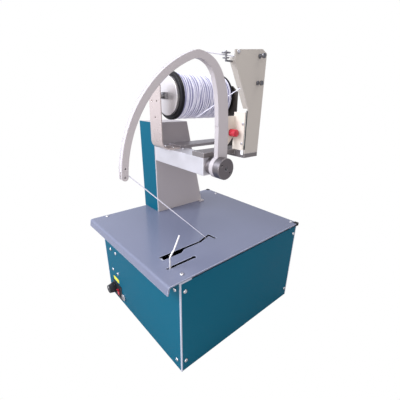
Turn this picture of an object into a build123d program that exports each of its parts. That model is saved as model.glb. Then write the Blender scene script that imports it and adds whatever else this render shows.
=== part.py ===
from build123d import *
import os
from math import acos, cos, degrees, radians, sin, sqrt

# Desktop thread tying machine: a sheet cabinet with a work table, a column and
# a beam that carry a swinging needle arm, and a thread spool on top.
# Millimetres. Origin: centre of the cabinet's bottom face. +Z up, the operator
# stands on the -Y side, +X is the operator's right.

os.makedirs("parts", exist_ok=True)

# cabinet
cab_half_w = 193.0
cab_half_d = 210.0
panel_t = 2.0
panel_top = 249.0
corner_bar = 3.0
leg_w = 30.0
leg_t = 4.0
base_t = 3.0
rail_h = 20.0
rail_w = 12.0
inlet_x = 130.0

# table
table_half_w = 197.0
table_front = -239.0
lip_lean = 3.5
table_back = 211.0
table_t = 3.0
table_top = 260.0
table_under = table_top - table_t
lip_drop = 19.0
lip_bend = 6.0

# needle arm and its shaft, along X
arm_y = -33.0
arm_z = 441.0
arm_x0 = 99.5
arm_x1 = 111.5
arc_out = 236.5
arc_in = 224.0
tip_angle = 3.8
arc_end_out = 72.0
arc_end_in = 70.0
eyelet_angle = 4.2
arm_mid_x = (arm_x0 + arm_x1) / 2
groove_r = arc_out - 0.9
shaft_r = 8.0
run_gap = 0.05
face_gap = 0.3
hub_r = 21.0
disc_r = 24.5
disc_x1 = 131.0

# column and beam
col_x0 = -202.0
col_x1 = -123.0
col_front = -59.0
col_back_low = 114.0
col_back_high = 53.0
col_top = 521.5
col_cut_w = 181.0
col_cut_e = 147.0
side_plate_t = 4.0
beam_x1 = 83.0
beam_back = -7.0
beam_z0 = 419.5
beam_z1 = 460.5
bearing_r = 14.0
beam_top_x = (-43.5,)
beam_top_y = -22.0
bearing_seats = [(col_x1 - 1, col_x1 + 9), (beam_x1 - 9, beam_x1 + 1)]
beam_bolts = [(y, z) for y in (-52.0, -14.0) for z in (426.0, 454.0)]

# belt drives
pulley_x = -164.0
belt_w = 12.0
belt_t = 2.0
small_pulley_r = 18.0
rocker_r = 36.0
rocker_y = -5.0
rocker_z = 120.0
lever_len = 60.0
arm_range = 110.0
rocker_range = arm_range * small_pulley_r / rocker_r

# main shaft, crank and knotter
main_y = 90.0
main_z = rocker_z - lever_len * cos(radians(rocker_range / 2))
crank_r = lever_len * sin(radians(rocker_range / 2))
main_r = 8.0
knot_y = -41.0
knot_z = 236.0
knot_r = 5.0
drive_pulley_r = 36.0
knot_pulley_r = 12.0
knot_belt_x = 72.0

# spool
spool_x = -70.0
spool_z = 589.0
axle_r = 6.0
flange_r = 56.5
winding_r = 55.8
bobbin_y0 = -45.0
bobbin_y1 = 129.0
flange_t = 9.0
spool_disc_r = 46.0

# spool stand and guide plate
strip_x0 = -99.0
strip_x1 = -48.0
strip_y = -84.0
strip_t = 3.0
strip_top = 612.0
bend_r = 22.0
strip_foot_x = (-90.0, -57.0)
rear_y0 = 135.0
rear_t = 4.0
bar_top = 468.0
carrier_x0 = 42.0
carrier_top = 472.0
cross_y0 = 44.0
cross_y1 = 93.0
cross_z0 = 454.0
cross_z1 = 470.0
guide_z0 = 464.5
guide_x1 = 115.0
guide_t = 3.0
guide_flange = 15.0
guide_bolts = [(70.0, 673.0), (70.0, 620.0)]
corner_screw = (2.1, 674.3)
tension_y = cross_y0 - 14.0
tension_z = 511.5
cream_screw_x = 107.0
pin_y = -24.0
pin_root_y = -6.2
flange_top = 664.0
turn_y = 20.0
turn_z = 662.0
turn_r = 3.2

# thread
thread_r = 1.1
thread_hole_r = 2.8
spool_exit = (-12.0, -2.0, 541.0)
flange_hole = (106.0, 23.5, 608.0)
turn_top = (106.0, turn_y + turn_r + thread_r + 0.1, turn_z + turn_r + thread_r + 0.2)
top_end = (102.8, pin_y, turn_top[2])
supply_bends = [3.0, 4.4]

# trigger lever
trig_x = 145.5
trig_y = -200.0
trig_pivot_z = 190.0
trig_wire_r = 1.8

# control row
row_z = 31.0
knob_x = -158.0
switch_x = -128.5
rocker_tip = 7.0
socket_x = -93.0
screw_r = 4.7
control_face = -cab_half_d - 1.5
jack_r = 3.25


def block(x0, x1, y0, y1, z0, z1):
    """A box given by its two corners."""
    shape = Box(x1 - x0, y1 - y0, z1 - z0)
    return Pos((x0 + x1) / 2, (y0 + y1) / 2, (z0 + z1) / 2) * shape


def rod_x(x0, x1, y, z, r):
    """A cylinder along X."""
    return Pos((x0 + x1) / 2, y, z) * Rot(0, 90, 0) * Cylinder(r, x1 - x0)


def rod_y(y0, y1, x, z, r):
    """A cylinder along Y."""
    return Pos(x, (y0 + y1) / 2, z) * Rot(90, 0, 0) * Cylinder(r, y1 - y0)


def rod_z(z0, z1, x, y, r):
    """A cylinder along Z."""
    return Pos(x, y, (z0 + z1) / 2) * Cylinder(r, z1 - z0)


def plate_x(x0, x1, points):
    """A plate square to X from its outline in Y and Z."""
    face = Plane.YZ * make_face(Polyline(*points, close=True))
    return Pos(x0, 0, 0) * extrude(face, x1 - x0, dir=(1, 0, 0))


def plate_y(y0, y1, points):
    """A plate square to Y from its outline in X and Z."""
    face = Plane.XZ * make_face(Polyline(*points, close=True))
    return Pos(0, y0, 0) * extrude(face, y1 - y0, dir=(0, 1, 0))


def plate_z(z0, z1, points):
    """A plate square to Z from its outline in X and Y."""
    face = make_face(Polyline(*points, close=True))
    return Pos(0, 0, z0) * extrude(face, z1 - z0, dir=(0, 0, 1))


def ring_x(x0, x1, y, z, r_out, r_in):
    """A tube along X."""
    return rod_x(x0, x1, y, z, r_out) - rod_x(x0 - 1, x1 + 1, y, z, r_in)


def tube(points, radii, r):
    """A round cord or wire along straight runs joined by tangent arcs."""
    if len(points) > 2:
        path = FilletPolyline(*points, radius=radii)
    else:
        path = Line(*points)
    section = Plane(path @ 0, z_dir=path % 0) * Circle(r)
    return sweep(section, path=path)


def turned(direction):
    """The turn that brings +Z to the given axis direction."""
    turns = {
        "+z": Rot(0, 0, 0),
        "-z": Rot(180, 0, 0),
        "+x": Rot(0, 90, 0),
        "-x": Rot(0, -90, 0),
        "+y": Rot(-90, 0, 0),
        "-y": Rot(90, 0, 0),
    }
    return turns[direction]


def button_screw(at, direction, shank, head_r=screw_r):
    """A button head with a hex socket. The head's seat is at the given point."""
    head_h = head_r * 0.62
    head = Pos(0, 0, head_h / 2) * Cylinder(head_r, head_h)
    head = fillet(head.edges().sort_by(Axis.Z)[-1:], head_h * 0.8)
    socket = Pos(0, 0, head_h) * extrude(RegularPolygon(head_r * 0.4, 6), -head_h * 0.55)
    stem = Pos(0, 0, -shank / 2) * Cylinder(head_r * 0.5, shank)
    return Pos(*at) * turned(direction) * (head - socket + stem)


def screw_hole(at, direction, depth, head_r=screw_r):
    """The clearance hole for a button screw's shank."""
    hole = Pos(0, 0, -depth / 2 + 1) * Cylinder(head_r * 0.5 + 0.15, depth + 2)
    return Pos(*at) * turned(direction) * hole


def polar(radius, angle, x):
    """A point at an angle up from -Y about the arm's axis."""
    a = radians(angle)
    return (x, arm_y - radius * cos(a), arm_z + radius * sin(a))


bridge_start = (top_end[0], top_end[1] - 0.3, top_end[2])
bridge_end = polar(groove_r, arc_end_out + 0.4, arm_mid_x)

# ---------------------------------------------------------------- screws
front_x = 176.0
low_z = 27.0
high_z = 228.0
side_y = 198.0
front_screws = [(sx * front_x, -cab_half_d, z) for sx in (-1, 1) for z in (low_z, high_z)]
front_screws = [s for s in front_screws if s[0] > 0 or s[2] > 60]
back_screws = [(sx * front_x, cab_half_d, z) for sx in (-1, 1) for z in (low_z, high_z)]
right_screws = [(cab_half_w, sy * side_y, z) for sy in (-1, 1) for z in (low_z + 3, high_z)]
left_screws = [(-cab_half_w, sy * side_y, z) for sy in (-1, 1) for z in (low_z + 3, high_z)]
module_screws = [(x, -cab_half_d, z) for x in (-151.5, -119.0) for z in (101.5, 171.6)]
table_screws = [(-187.0, -194.0), (-139.0, 197.0), (179.5, 199.0), (179.0, -195.0)]
table_screws = [(x, y, table_top) for x, y in table_screws]
cabinet_screws = [(p, "-y") for p in front_screws + module_screws]
cabinet_screws += [(p, "+y") for p in back_screws]
cabinet_screws += [(p, "+x") for p in right_screws]
cabinet_screws += [(p, "-x") for p in left_screws]
cabinet_screws += [(p, "+z") for p in table_screws]


def drilled(shape, depth=14.0):
    """The shape with every cabinet screw's hole cut in it."""
    for at, direction in cabinet_screws:
        shape -= screw_hole(at, direction, depth)
    return shape


# ---------------------------------------------------------------- cabinet
def corner_post(sx, sy):
    """An angle post with a bar at its corner that shows between the panels."""
    reach = panel_t + leg_t
    outline = [
        (0, 0),
        (corner_bar, 0),
        (corner_bar, panel_t),
        (leg_w, panel_t),
        (leg_w, reach),
        (reach, reach),
        (reach, leg_w),
        (panel_t, leg_w),
        (panel_t, corner_bar),
        (0, corner_bar),
    ]
    points = [(sx * (cab_half_w - u), sy * (cab_half_d - v)) for u, v in outline]
    post = plate_z(0, panel_top, points)
    x = sx * cab_half_w
    y = sy * cab_half_d
    if sy < 0:
        ear_x = [x, x - sx * leg_w]
        ear_y = [y, y + leg_w]
        post += block(min(ear_x), max(ear_x), y, y + reach, panel_top, table_under)
        post += block(min(x, x - sx * reach), max(x, x - sx * reach), *ear_y, panel_top, table_under)
    return post


def cabinet_frame():
    """Four posts and the rails between them, welded."""
    inner_x = cab_half_w - panel_t - leg_t
    inner_y = cab_half_d - panel_t - leg_t
    frame = corner_post(1, -1)
    for sx, sy in ((-1, -1), (1, 1), (-1, 1)):
        frame += corner_post(sx, sy)
    for z0, z1 in ((base_t, base_t + rail_w), (table_under - rail_h, table_under)):
        for sx in (-1, 1):
            xs = sorted((sx * inner_x, sx * (inner_x - rail_w)))
            frame += block(*xs, -inner_y, inner_y, z0, z1)
        for sy in (-1, 1):
            ys = sorted((sy * inner_y, sy * (inner_y - rail_w)))
            frame += block(-inner_x, inner_x, *ys, z0, z1)
    frame -= block(trig_x - 8, trig_x + 8, -inner_y - 1, -inner_y + rail_w + 1, 200, table_under + 1)
    frame -= block(-col_cut_w, -col_cut_e, col_front, 40, table_under - rail_h - 1, table_under + 1)
    return drilled(frame)


def base_plate():
    """The floor of the cabinet, inside the feet of the posts."""
    x = cab_half_w - panel_t - leg_t
    y = cab_half_d - panel_t - leg_t
    return block(-x, x, -y, y, 0, base_t)


def front_panel():
    x = cab_half_w - corner_bar - face_gap
    panel = block(-x, x, -cab_half_d, -cab_half_d + panel_t, 1, panel_top)
    panel -= rod_y(-cab_half_d - 1, -cab_half_d + 3, knob_x, row_z, 4.5)
    panel -= rod_y(-cab_half_d - 1, -cab_half_d + 3, socket_x, row_z, 7.2)
    panel -= block(
        switch_x - 6.2, switch_x + 6.2, -cab_half_d - 1, -cab_half_d + 3, row_z - 11.2, row_z + 11.2
    )
    return drilled(panel)


def side_panel(sx):
    y = cab_half_d - corner_bar - face_gap
    xs = sorted((sx * cab_half_w, sx * (cab_half_w - panel_t)))
    return drilled(block(*xs, -y, y, 1, panel_top))


def back_panel():
    x = cab_half_w - corner_bar - face_gap
    panel = block(-x, x, cab_half_d - panel_t, cab_half_d, 1, panel_top)
    for row in range(6):
        for side in (-60, 60):
            z = 90 + 14 * row
            panel -= block(side - 35, side + 35, cab_half_d - 3, cab_half_d + 1, z, z + 3.5)
    panel -= block(inlet_x - 14.2, inlet_x + 14.2, cab_half_d - 3, cab_half_d + 1, 25.8, 46.2)
    return drilled(panel)


def power_inlet():
    """Mains inlet: a flange outside the panel and a body through its hole."""
    inlet = block(inlet_x - 24, inlet_x + 24, cab_half_d, cab_half_d + 2, 22, 50)
    inlet += block(inlet_x - 14, inlet_x + 14, cab_half_d - 26, cab_half_d, 26, 46)
    inlet -= block(inlet_x - 11.5, inlet_x + 11.5, cab_half_d - 16, cab_half_d + 3, 29, 43)
    for dx in (-6, 0, 6):
        inlet += block(inlet_x + dx - 1, inlet_x + dx + 1, cab_half_d - 17, cab_half_d - 3, 34, 38)
    return inlet


def work_table():
    """The table plate with a lip folded down at the front and its slots."""
    lip_low = table_top - lip_drop
    profile = [
        (table_back, table_top),
        (table_front, table_top),
        (table_front - lip_lean, lip_low),
        (table_front - lip_lean + table_t, lip_low),
        (table_front + table_t, table_under),
        (table_back, table_under),
    ]
    table = plate_x(-table_half_w, table_half_w, profile)
    table = fillet(
        table.edges().filter_by(Axis.X).group_by(Axis.Z)[-1].sort_by(Axis.Y)[:1],
        lip_bend,
    )
    wide = [
        (99.5, -198),
        (111.5, -198),
        (113.2, -196),
        (113.2, -146),
        (104.6, -133),
        (103.8, -80),
        (98.2, -62.5),
        (92.2, -44.2),
        (112.5, -42.2),
        (112.5, -36),
        (84.4, -38),
        (91.4, -63.5),
        (97.6, -81.5),
        (97.4, -196),
    ]
    table -= plate_z(table_under - 1, table_top + 1, wide)
    table -= block(trig_x - 3.4, trig_x + 3.4, -206, -137, table_under - 1, table_top + 1)
    table -= rod_z(table_under - 1, table_top + 1, trig_x, -206, 3.4)
    table -= rod_z(table_under - 1, table_top + 1, trig_x, -136, 4.8)
    table -= block(-col_cut_w, -col_cut_e, -54, 40, table_under - 1, table_top + 1)
    return drilled(table)


# ---------------------------------------------------------------- column
def column_outline(inset):
    """Side outline of the tapered column, moved in at the back and the top."""
    return [
        (col_front + inset, table_top),
        (col_back_low - inset, table_top),
        (col_back_high - inset, col_top - inset),
        (col_front + inset, col_top - inset),
    ]


def column_side_plate():
    """Thick tapered plate on the beam's side, with a foot tab at its back."""
    plate = plate_x(col_x1 - side_plate_t, col_x1, column_outline(0))
    plate += block(col_x1 - 1, col_x1 + 13, col_back_low - 16, col_back_low, table_top, table_top + 4)
    plate -= rod_x(col_x1 - side_plate_t - 1, col_x1 + 1, arm_y, arm_z, shaft_r + 6)
    plate -= screw_hole((col_x1 + 7, col_back_low - 8, table_top + 4), "+z", 4, 3.5)
    for y, z in beam_bolts:
        plate -= screw_hole((col_x1 - side_plate_t, y, z), "-x", side_plate_t + 12, 4.0)
    return plate


def column_front_cover():
    return block(col_x0, col_x1 - side_plate_t, col_front, col_front + panel_t, table_top, col_top)


def column_cover():
    """One folded sheet: left wall, sloping back and top."""
    x1 = col_x1 - side_plate_t
    outer = [
        (col_front + panel_t, table_top),
        (col_back_low, table_top),
        (col_back_high, col_top),
        (col_front + panel_t, col_top),
    ]
    inner = [
        (col_front, table_top - 1),
        (col_back_low - 2.2, table_top - 1),
        (col_back_high - 2.2, col_top - panel_t),
        (col_front, col_top - panel_t),
    ]
    return plate_x(col_x0, x1, outer) - plate_x(col_x0 + panel_t, x1 + 1, inner)


def beam_housing():
    """Aluminium bar bored for the arm shaft, with a bearing seat at each end."""
    beam = block(col_x1, beam_x1, col_front, beam_back, beam_z0, beam_z1)
    beam -= rod_x(col_x1 - 1, beam_x1 + 1, arm_y, arm_z, shaft_r + 3)
    for x0, x1 in bearing_seats:
        beam -= rod_x(x0, x1, arm_y, arm_z, bearing_r)
    beam -= rod_x(beam_x1 - 10, beam_x1 + 1, -47.4, 452.1, 1.8)
    for x in beam_top_x:
        beam -= screw_hole((x, beam_top_y, beam_z1), "+z", 9, 4.2)
    for y, z in beam_bolts:
        beam -= screw_hole((col_x1 - side_plate_t, y, z), "-x", side_plate_t + 14, 4.0)
    return chamfer(beam.edges().filter_by(Axis.X).group_by(Axis.Z)[0], 0.8)


def beam_bearings():
    """A ball bearing's ring at each end of the beam."""
    left = ring_x(col_x1 + 1, col_x1 + 9, arm_y, arm_z, bearing_r, shaft_r + run_gap)
    right = ring_x(beam_x1 - 9, beam_x1 - 1, arm_y, arm_z, bearing_r, shaft_r + run_gap)
    return [left, right]


def guide_carrier():
    """Plate on the beam's end that runs back to a crossbar for the guides."""
    carrier = block(carrier_x0, beam_x1, col_front, cross_y1, beam_z1, carrier_top)
    carrier = chamfer(carrier.edges().filter_by(Axis.Y).group_by(Axis.Z)[-1], 0.6)
    carrier += block(carrier_x0, guide_x1 - guide_t, cross_y0, cross_y1, cross_z0, cross_z1)
    return carrier + block(carrier_x0, guide_x1, cross_y0, cross_y1, cross_z0, guide_z0)


# ---------------------------------------------------------------- arm
def swing_arm():
    """Flat plate: an arc about the shaft, bent over into a stem to the hub."""
    tip = polar((arc_out + arc_in) / 2, tip_angle, 0)
    tip_out = polar(arc_out, tip_angle, 0)
    tip_in = polar(arc_in, tip_angle, 0)
    mid_angle = (tip_angle + arc_end_out) / 2
    outer = ThreePointArc(tip_out[1:], polar(arc_out, mid_angle, 0)[1:], polar(arc_out, arc_end_out, 0)[1:])
    inner = ThreePointArc(tip_in[1:], polar(arc_in, mid_angle, 0)[1:], polar(arc_in, arc_end_in, 0)[1:])
    shoulder = Spline(
        outer @ 1,
        (-83, 665.5),
        (-54, 653),
        (-31, 625),
        (-18, 582),
        (-13, 530),
        (-12, arm_z),
        tangents=[outer % 1, (0, -1)],
    )
    elbow = Spline(
        inner @ 1,
        (-83, 650.5),
        (-64, 636.5),
        (-53, 612),
        (-46, 577),
        (-42.5, 530),
        (-42, arm_z),
        tangents=[inner % 1, (0, -1)],
    )
    foot = Line(shoulder @ 1, elbow @ 1)
    away = polar((arc_out + arc_in) / 2, tip_angle, 0)
    end = ThreePointArc(tip_out[1:], (away[1] + 0.4, away[2] - (arc_out - arc_in) / 2), tip_in[1:])
    outline = make_face([end, outer, shoulder, foot, elbow, inner])
    arm = Pos(arm_x0, 0, 0) * extrude(Plane.YZ * outline, arm_x1 - arm_x0, dir=(1, 0, 0))
    arm += rod_x(arm_x0, arm_x1, arm_y, arm_z, disc_r)
    arm -= rod_x(arm_x0 - 1, arm_x1 + 1, arm_y, arm_z, shaft_r)
    groove_x = (arm_x0 + arm_x1) / 2
    arm -= ring_x(groove_x - 1.6, groove_x + 1.6, arm_y, arm_z, arc_out + 1, arc_out - 2.2)
    arm -= rod_x(arm_x1 - 3, arm_x1 + 1, tip[1], tip[2], 1.8)
    side = polar(229.5, 7.6, 0)
    arm -= rod_x(arm_x0 - 1, arm_x1 + 1, side[1], side[2], 1.8)
    arm -= tube([bridge_start, bridge_end], [], thread_r + 0.5)
    return arm - eyelet_cut()


def eyelet_cut():
    """A radial hole through the arm's edge for the thread's ceramic eyelet."""
    x = (arm_x0 + arm_x1) / 2
    mid = polar((arc_out + arc_in) / 2, eyelet_angle, x)
    spin = Pos(*mid) * Rot(-eyelet_angle, 0, 0) * Rot(90, 0, 0)
    return spin * Cylinder(2.6, arc_out - arc_in + 4)


def arm_eyelets():
    """The ceramic tube through the arm's edge that the thread passes."""
    x = (arm_x0 + arm_x1) / 2
    mid = polar((arc_out + arc_in) / 2, eyelet_angle, x)
    spin = Pos(*mid) * Rot(-eyelet_angle, 0, 0) * Rot(90, 0, 0)
    sleeve = Cylinder(2.6, arc_out - arc_in - 4.6) - Cylinder(1.5, arc_out)
    return spin * Pos(0, 0, -2.2) * sleeve


def arm_hub():
    return ring_x(beam_x1 + face_gap, arm_x0, arm_y, arm_z, hub_r, shaft_r)


def hub_disc():
    """Clamp disc outside the arm, with a screw recess and two side holes."""
    disc = rod_x(arm_x1, disc_x1, arm_y, arm_z, disc_r)
    disc = chamfer(disc.edges().sort_by(Axis.X)[-1:], 0.8)
    disc -= rod_x(arm_x1 - 1, disc_x1 - 7, arm_y, arm_z, shaft_r)
    disc -= rod_x(disc_x1 - 8, disc_x1 + 1, arm_y, arm_z, 5.2)
    for side in (-1, 1):
        disc -= rod_x(disc_x1 - 6, disc_x1 + 1, arm_y + side * 12.5, arm_z - side * 10, 2.4)
    return disc


def arm_shaft():
    shaft = rod_x(col_x0 + 14, disc_x1 - 7, arm_y, arm_z, shaft_r)
    shaft += rod_x(disc_x1 - 7, disc_x1 - 1.5, arm_y, arm_z, 5.2)
    socket = Pos(disc_x1 - 1.5, arm_y, arm_z) * Rot(0, 90, 0) * extrude(RegularPolygon(2.9, 6), -3.5)
    return shaft - socket


def pulley(x, y, z, r, bore_r):
    """A flat belt pulley with a flange each side."""
    half = belt_w / 2 + 0.8
    wheel = rod_x(x - half, x + half, y, z, r)
    for side in (-1, 1):
        edge = x + side * (half + 0.6)
        wheel += rod_x(edge - 0.6, edge + 0.6, y, z, r + belt_t + 1.2)
    return wheel - rod_x(x - 20, x + 20, y, z, bore_r)


def belt_loop(x, y0, z0, r0, y1, z1, r1):
    """An open belt round two pulleys, a little clear of both rims."""
    dy = y1 - y0
    dz = z1 - z0
    gap = sqrt(dy * dy + dz * dz)

    def outline(grow):
        ra = r0 + grow
        rb = r1 + grow
        lean = acos((ra - rb) / gap)
        heading = Vector(dy / gap, dz / gap)
        points = []
        for sign in (1, -1):
            n = heading.rotate(Axis.Z, degrees(sign * lean))
            points.append(((y0 + ra * n.X, z0 + ra * n.Y), (y1 + rb * n.X, z1 + rb * n.Y)))
        (a0, a1), (b0, b1) = points
        back = (y0 - ra * dy / gap, z0 - ra * dz / gap)
        front = (y1 + rb * dy / gap, z1 + rb * dz / gap)
        edges = [Line(a0, a1), ThreePointArc(a1, front, b1), Line(b1, b0), ThreePointArc(b0, back, a0)]
        return make_face(edges)

    ring = outline(face_gap + belt_t) - outline(face_gap)
    return Pos(x - belt_w / 2, 0, 0) * extrude(Plane.YZ * ring, belt_w, dir=(1, 0, 0))


# ---------------------------------------------------------------- drive
def rocker_lever():
    """The rocker's shaft with its lever and the pin for the connecting rod."""
    lean = radians(rocker_range / 2)
    end_y = rocker_y - lever_len * sin(lean)
    end_z = rocker_z - lever_len * cos(lean)
    lever = rod_x(-184, -108, rocker_y, rocker_z, shaft_r)
    lever += rod_x(-134, -126, rocker_y, rocker_z, 16)
    lever += rod_x(-134, -126, end_y, end_z, 10)
    side_y = 8 * cos(lean)
    side_z = 8 * sin(lean)
    web = [
        (rocker_y - side_y, rocker_z + side_z),
        (rocker_y + side_y, rocker_z - side_z),
        (end_y + side_y, end_z - side_z),
        (end_y - side_y, end_z + side_z),
    ]
    lever += plate_x(-134, -126, web)
    return lever + rod_x(-126, -117, end_y, end_z, 4)


def connecting_rod():
    """Flat rod from the rocker's pin to the crank's open pivot."""
    end_y = rocker_y - crank_r
    crank_y = main_y - crank_r
    rod = rod_x(-125.5, -118, end_y, main_z, 9) + rod_x(-125.5, -118, crank_y, main_z, 9)
    rod += block(-125.5, -118, end_y, crank_y, main_z - 5, main_z + 5)
    rod -= rod_x(-127, -117, end_y, main_z, 4 + run_gap)
    return rod - rod_x(-127, -117, crank_y, main_z, 4.1)


def crank_disc():
    """Crank with a short pin that stops just clear of the rod's eye."""
    disc = rod_x(-114, -106, main_y, main_z, 38)
    disc += rod_x(-117.4, -114, main_y - crank_r, main_z, 4)
    return disc - rod_x(-120, -100, main_y, main_z, main_r)


def main_shaft():
    return rod_x(-114, 90, main_y, main_z, main_r)


def gear_motor():
    """Worm gearbox round the main shaft, with the motor along +Y."""
    box_low = main_z - 40
    motor = block(-40, 20, main_y - 38, main_y + 38, box_low, main_z + 34)
    motor += rod_y(main_y + 38, 196, -10, main_z - 2, 36)
    motor += block(-46, 26, main_y - 42, main_y + 42, base_t, box_low)
    for y in (main_y + 52, main_y + 66, main_y + 80):
        motor += rod_y(y, y + 5, -10, main_z - 2, 39)
    return motor - rod_x(-60, 40, main_y, main_z, main_r + run_gap)


def bearing_block(x0, x1, y, z, r, half, foot=base_t):
    body = block(x0, x1, y - half, y + half, foot, z + half)
    return body - rod_x(x0 - 1, x1 + 1, y, z, r + run_gap)


def bearings():
    """Blocks for the rocker's shaft and the main shaft, and the beam's rings."""
    blocks = [
        bearing_block(-184, -176, rocker_y, rocker_z, shaft_r, 15, base_t + rail_w),
        bearing_block(-150, -142, rocker_y, rocker_z, shaft_r, 15),
        bearing_block(-98, -88, main_y, main_z, main_r, 18),
        bearing_block(46, 56, main_y, main_z, main_r, 18),
    ]
    return Compound(children=blocks + beam_bearings())


def knotter_bill():
    """The knotter's shaft with its hooked bill at the end."""
    bill = rod_x(50, 92, knot_y, knot_z, knot_r)
    bill += rod_x(92, 96, knot_y, knot_z, 7)
    hook = [
        (knot_y - 4, knot_z - 3),
        (knot_y + 3, knot_z - 3),
        (knot_y + 6, knot_z + 2),
        (knot_y + 15, knot_z + 3.5),
        (knot_y + 15, knot_z + 6.5),
        (knot_y + 3, knot_z + 6.5),
        (knot_y - 4, knot_z + 3),
    ]
    return bill + plate_x(95, 99, hook)


def knotter_bracket():
    """Bracket under the table that holds the knotter's shaft."""
    bracket = block(52, 62, knot_y - 12, knot_y + 12, knot_z - 14, table_under - 4)
    bracket += block(80, 90, knot_y - 12, knot_y + 12, knot_z - 14, table_under - 4)
    bracket += block(52, 90, knot_y - 20, knot_y + 40, table_under - 4, table_under)
    bracket -= rod_x(40, 100, knot_y, knot_z, knot_r + run_gap)
    bracket -= plate_z(table_under - 5, table_under + 1, [(83, -48), (91, -48), (91, -30), (83, -30)])
    return bracket


def cutter_lever():
    """Cutter blade on a pin beside the bill."""
    blade = ring_x(91, 94, knot_y + 26, knot_z - 2, 6, 2.5 + run_gap)
    blade += block(91, 94, knot_y + 10, knot_y + 22, knot_z - 7, knot_z + 1)
    return blade - rod_x(88, 96, knot_y + 26, knot_z - 2, 2.5 + run_gap)


def cutter_pin():
    """The pin and its ear, part of the knotter bracket."""
    ear = block(80, 90, knot_y + 20, knot_y + 34, knot_z - 10, table_under - 4)
    return ear + rod_x(90, 96, knot_y + 26, knot_z - 2, 2.5)


# ---------------------------------------------------------------- trigger
def trigger_wire():
    """Bent wire lever that stands up through its slot, with its pivot tube."""
    points = [
        (trig_x, trig_y, trig_pivot_z),
        (trig_x, trig_y, table_top + 26),
        (trig_x, trig_y + 10, table_top + 38),
        (trig_x, trig_y + 25, table_top + 68),
    ]
    wire = tube(points, [12.0, 12.0], trig_wire_r)
    hub = ring_x(trig_x - 7, trig_x + 7, trig_y, trig_pivot_z, 6, 3 + run_gap)
    return wire + hub - rod_x(trig_x - 8, trig_x + 8, trig_y, trig_pivot_z, 3 + run_gap)


def trigger_block():
    """Fork on the right wall that holds the trigger's pivot pin."""
    wall = cab_half_w - panel_t - leg_t
    fork = block(trig_x + 14, wall, trig_y - 4, trig_y + 9, trig_pivot_z - 8, trig_pivot_z + 8)
    return fork + rod_x(trig_x - 9, trig_x + 14, trig_y, trig_pivot_z, 3)


def trigger_switch():
    """Micro-switch that the trigger's wire leaves when it is pushed back."""
    body = block(trig_x - 20, trig_x - 10, trig_y - 2, trig_y + 26, trig_pivot_z + 6, trig_pivot_z + 20)
    body += block(
        trig_x - 16, trig_x - 14, trig_y + 2, trig_y + 24, trig_pivot_z + 20, trig_pivot_z + 23
    )
    return body


# ---------------------------------------------------------------- controls
def control_plate():
    """Black plate with the switch's bezel."""
    plate = block(-165, -108, control_face, -cab_half_d, 8, 58)
    plate += block(switch_x - 10, switch_x + 10, control_face - 1.5, control_face, row_z - 15, row_z + 15)
    plate += block(switch_x - 6, switch_x + 6, -cab_half_d, -cab_half_d + 16, row_z - 11, row_z + 11)
    plate -= block(
        switch_x - 5.4, switch_x + 5.4, control_face - 3, -cab_half_d + 14, row_z - 10.4, row_z + 10.4
    )
    plate += rod_x(switch_x - 6, switch_x + 6, -cab_half_d + 3, row_z, 1.2)
    return plate - rod_y(control_face - 1, -cab_half_d + 1, knob_x, row_z, 3.55)


def power_rocker():
    """Rocker button: a wedge on its pin, tipped to the off side."""
    y = -cab_half_d + 3
    points = [(-8.6, -8.9), (-6.8, 0), (-8.6, 8.9), (4, 6), (4, -6)]
    button = Pos(switch_x, y, row_z) * Rot(rocker_tip, 0, 0) * plate_x(-5.0, 5.0, points)
    return button - rod_x(switch_x - 8, switch_x + 8, y, row_z, 1.2 + run_gap)


def speed_knob():
    """Tapered control knob with grip flutes and its spindle."""
    back = control_face - face_gap
    skirt = rod_y(back - 2.5, back, knob_x, row_z, 17.0)
    grip = Pos(knob_x, back - 11, row_z) * Rot(90, 0, 0) * Cone(16.0, 12.5, 17)
    grip = fillet(grip.edges().sort_by(Axis.Y)[:1], 1.2)
    for k in range(24):
        a = radians(15 * k)
        grip -= rod_y(back - 20, back - 2.5, knob_x + 15.6 * cos(a), row_z + 15.6 * sin(a), 1.3)
    return skirt + grip + rod_y(back, -cab_half_d + 12, knob_x, row_z, 3.5)


def pedal_socket():
    """Round metal jack for a foot switch, with its nut ring."""
    ring = rod_y(-cab_half_d - 5, -cab_half_d, socket_x, row_z, 10.5)
    ring = fillet(ring.edges().sort_by(Axis.Y)[:1], 1.2)
    ring += rod_y(-cab_half_d, -cab_half_d + 20, socket_x, row_z, 7)
    return ring - rod_y(-cab_half_d - 6, -cab_half_d + 15, socket_x, row_z, jack_r)


def control_board():
    """Circuit board on four posts behind the front panel."""
    y = -cab_half_d + 22
    board = block(-162, -108, y, y + 1.6, 90, 184)
    for x, _, z in module_screws:
        board += rod_y(-cab_half_d + panel_t, y, x, z, 4)
        board -= screw_hole((x, -cab_half_d, z), "-y", 14)
    for x, z, w, h, tall in ((-150, 130, 18, 18, 12), (-124, 140, 10, 14, 8), (-128, 112, 16, 10, 14)):
        board += block(x - w / 2, x + w / 2, y + 1.6, y + 1.6 + tall, z - h / 2, z + h / 2)
    return board


# ---------------------------------------------------------------- spool
def spool_bobbin():
    """Plastic core with a flange at each end."""
    bobbin = rod_y(bobbin_y0, bobbin_y1, spool_x, spool_z, 20)
    front = rod_y(bobbin_y0, bobbin_y0 + flange_t, spool_x, spool_z, flange_r)
    front = fillet(front.edges().sort_by(Axis.Y)[:1], 3.0)
    bobbin += front
    bobbin += rod_y(bobbin_y1 - 3, bobbin_y1, spool_x, spool_z, flange_r)
    return bobbin - rod_y(bobbin_y0 - 1, bobbin_y1 + 1, spool_x, spool_z, axle_r + run_gap)


def thread_winding():
    wound = rod_y(bobbin_y0 + flange_t, bobbin_y1 - 3, spool_x, spool_z, winding_r)
    return wound - rod_y(bobbin_y0, bobbin_y1, spool_x, spool_z, 20)


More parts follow.
